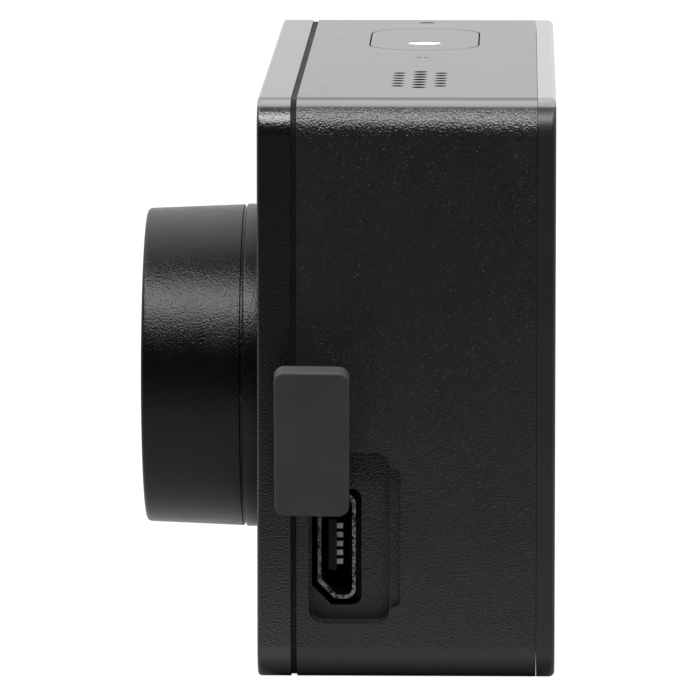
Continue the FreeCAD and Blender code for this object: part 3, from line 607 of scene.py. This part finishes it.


# ---------------------------------------------------------------- USB socket
# A drawn steel shell, painted near-black inside as painted shade, around a black tongue
# with silvery springs, set in the moulded pocket.

def brushed_metal(name, colour, roughness, stretch=(400.0, 9000.0, 9000.0), depth=0.000003):
    """Bare metal: long thin tool marks along X, tarnish in slow patches."""
    paint, tree, shader = new_finish(name, metallic=1.0)
    place = tree.nodes.new("ShaderNodeTexCoord").outputs["Object"]
    lines = put(tree, "ShaderNodeMapping", Vector=place)
    lines.inputs["Scale"].default_value = stretch
    marks = put(tree, "ShaderNodeTexNoise", Vector=lines.outputs[0], Scale=1.0, Detail=3.0)
    tarnish = put(tree, "ShaderNodeTexNoise", Vector=place, Scale=700.0, Detail=3.0)
    patch = band(tree, tarnish.outputs[0], 0.4, 0.65)
    duller = tuple(0.72 * part for part in colour)
    tree.links.new(blend_colours(tree, patch, colour, duller), shader.inputs["Base Color"])
    rough = blend_values(tree, marks.outputs[0], roughness[0], roughness[1])
    tree.links.new(rough, shader.inputs["Roughness"])
    add_bump(tree, shader, marks.outputs[0], depth)
    return paint


def socket_metal():
    """The shell shows bright metal only at its trimmed mouth; further in, its colour is painted
    near-black as painted shade inside the socket.
    """
    paint, tree, shader = new_finish("shell_with_painted_shade", ior=1.5)
    place = tree.nodes.new("ShaderNodeTexCoord").outputs["Object"]
    split = tree.nodes.new("ShaderNodeSeparateXYZ")
    tree.links.new(place, split.inputs[0])
    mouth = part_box("usb_socket_shell")[1].x
    specks = put(tree, "ShaderNodeTexNoise", Vector=place, Scale=5200.0, Detail=1.0)
    # Painted shade: deeper than the trimmed mouth, the shell's colour is painted near-black and not
    # metallic, standing in for the shade inside the socket.
    trimmed = band(tree, split.outputs["X"], mouth - 0.00012, mouth - 0.00004)
    shine = arithmetic(tree, "MULTIPLY", trimmed, band(tree, specks.outputs[0], 0.3, 0.7))
    colour = blend_colours(tree, shine, (0.003, 0.003, 0.003), (0.34, 0.34, 0.35))
    tree.links.new(colour, shader.inputs["Base Color"])
    tree.links.new(blend_values(tree, shine, 0.6, 0.45), shader.inputs["Roughness"])
    tree.links.new(trimmed, shader.inputs["Metallic"])
    shader.inputs["Specular IOR Level"].default_value = 0.1
    add_bump(tree, shader, specks.outputs[0], 0.00001)
    return paint


dress(socket_metal(), "usb_socket_shell")
steel_finish = brushed_metal("drawn_steel", (0.62, 0.61, 0.59), (0.22, 0.42))
dress(steel_finish, "strap_pin", "door_hinge_pin", "processor_shield",
      "card_socket", "backlight_plate", "microphone", "board_screws")
dress(brushed_metal("gilt_contact", (0.9, 0.68, 0.32), (0.2, 0.35)), "battery_contacts")
dress(brushed_metal("silver_contact", (0.42, 0.42, 0.41), (0.3, 0.45)), "usb_contacts")
dress(brushed_metal("blackened_steel", (0.08, 0.08, 0.085), (0.35, 0.5)), "case_screws")
dress(brushed_metal("rolled_aluminium", (0.75, 0.76, 0.77), (0.3, 0.5)), "heat_spreader")
tongue_finish = grained_plastic("tongue_black", (0.003, 0.003, 0.003), (0.006, 0.006, 0.006),
                                (0.45, 0.6), 0.000004, gloss=0.2)
dress(tongue_finish, "usb_tongue")


# ---------------------------------------------------------------- USB cover and tether
# The cover and its tether are one soft grey-black moulding, evenly matt.

cover_finish = grained_plastic("cover_soft_grey", (0.022, 0.022, 0.0225), (0.029, 0.029, 0.0295),
                               (0.62, 0.74), 0.000005, pebbles=9000.0)
dress(cover_finish, "usb_cover", "usb_strap")


# ---------------------------------------------------------------- battery door and latch
# The door repeats the frame's grain; its latch is a slightly lighter grey so that it is
# found quickly.

dress(body_finish, "battery_door")
dress(grained_plastic("latch_grey", (0.05, 0.05, 0.052), (0.075, 0.075, 0.077), (0.4, 0.55),
                      0.00001), "door_latch")


# ---------------------------------------------------------------- tripod socket
# A nickelled brass insert with a quarter-inch thread.

nickel_finish = brushed_metal("nickelled_brass", (0.72, 0.68, 0.58), (0.2, 0.38))
dress(nickel_finish, "tripod_insert")


# ---------------------------------------------------------------- inside the case
# Boards, chips, films and the battery, which show only when the case or the door is open.

def circuit_board():
    paint, tree, shader = new_finish("green_solder_mask")
    place = tree.nodes.new("ShaderNodeTexCoord").outputs["Object"]
    tracks = put(tree, "ShaderNodeTexVoronoi", Vector=place, Scale=420.0)
    tracks.distance = "CHEBYCHEV"
    lines = band(tree, tracks.outputs["Distance"], 0.42, 0.46)
    colour = blend_colours(tree, lines, (0.008, 0.05, 0.022), (0.02, 0.10, 0.045))
    tree.links.new(colour, shader.inputs["Base Color"])
    tree.links.new(blend_values(tree, lines, 0.35, 0.25), shader.inputs["Roughness"])
    add_bump(tree, shader, lines, 0.00001)
    return paint


dress(circuit_board(), "main_board", "sensor_board", "button_board")
chip_finish = grained_plastic("moulded_chip", (0.012, 0.012, 0.013), (0.02, 0.02, 0.021),
                              (0.4, 0.6), 0.000006)
dress(chip_finish, "processor", "memory_chips", "button_switch", "memory_card", "image_sensor",
      "lcd_panel")
film_finish = grained_plastic("amber_film", (0.30, 0.15, 0.03), (0.42, 0.22, 0.05),
                              (0.25, 0.4), 0.000004)
dress(film_finish, "display_flex", "sensor_flex", "button_flex", "antenna")
dress(grained_plastic("battery_wrap", (0.02, 0.02, 0.022), (0.035, 0.035, 0.037), (0.35, 0.5),
                      0.000006), "battery_pack")
dress(grained_plastic("pull_tab_film", (0.55, 0.34, 0.04), (0.7, 0.45, 0.07), (0.3, 0.4),
                      0.000004), "battery_pull_tab")
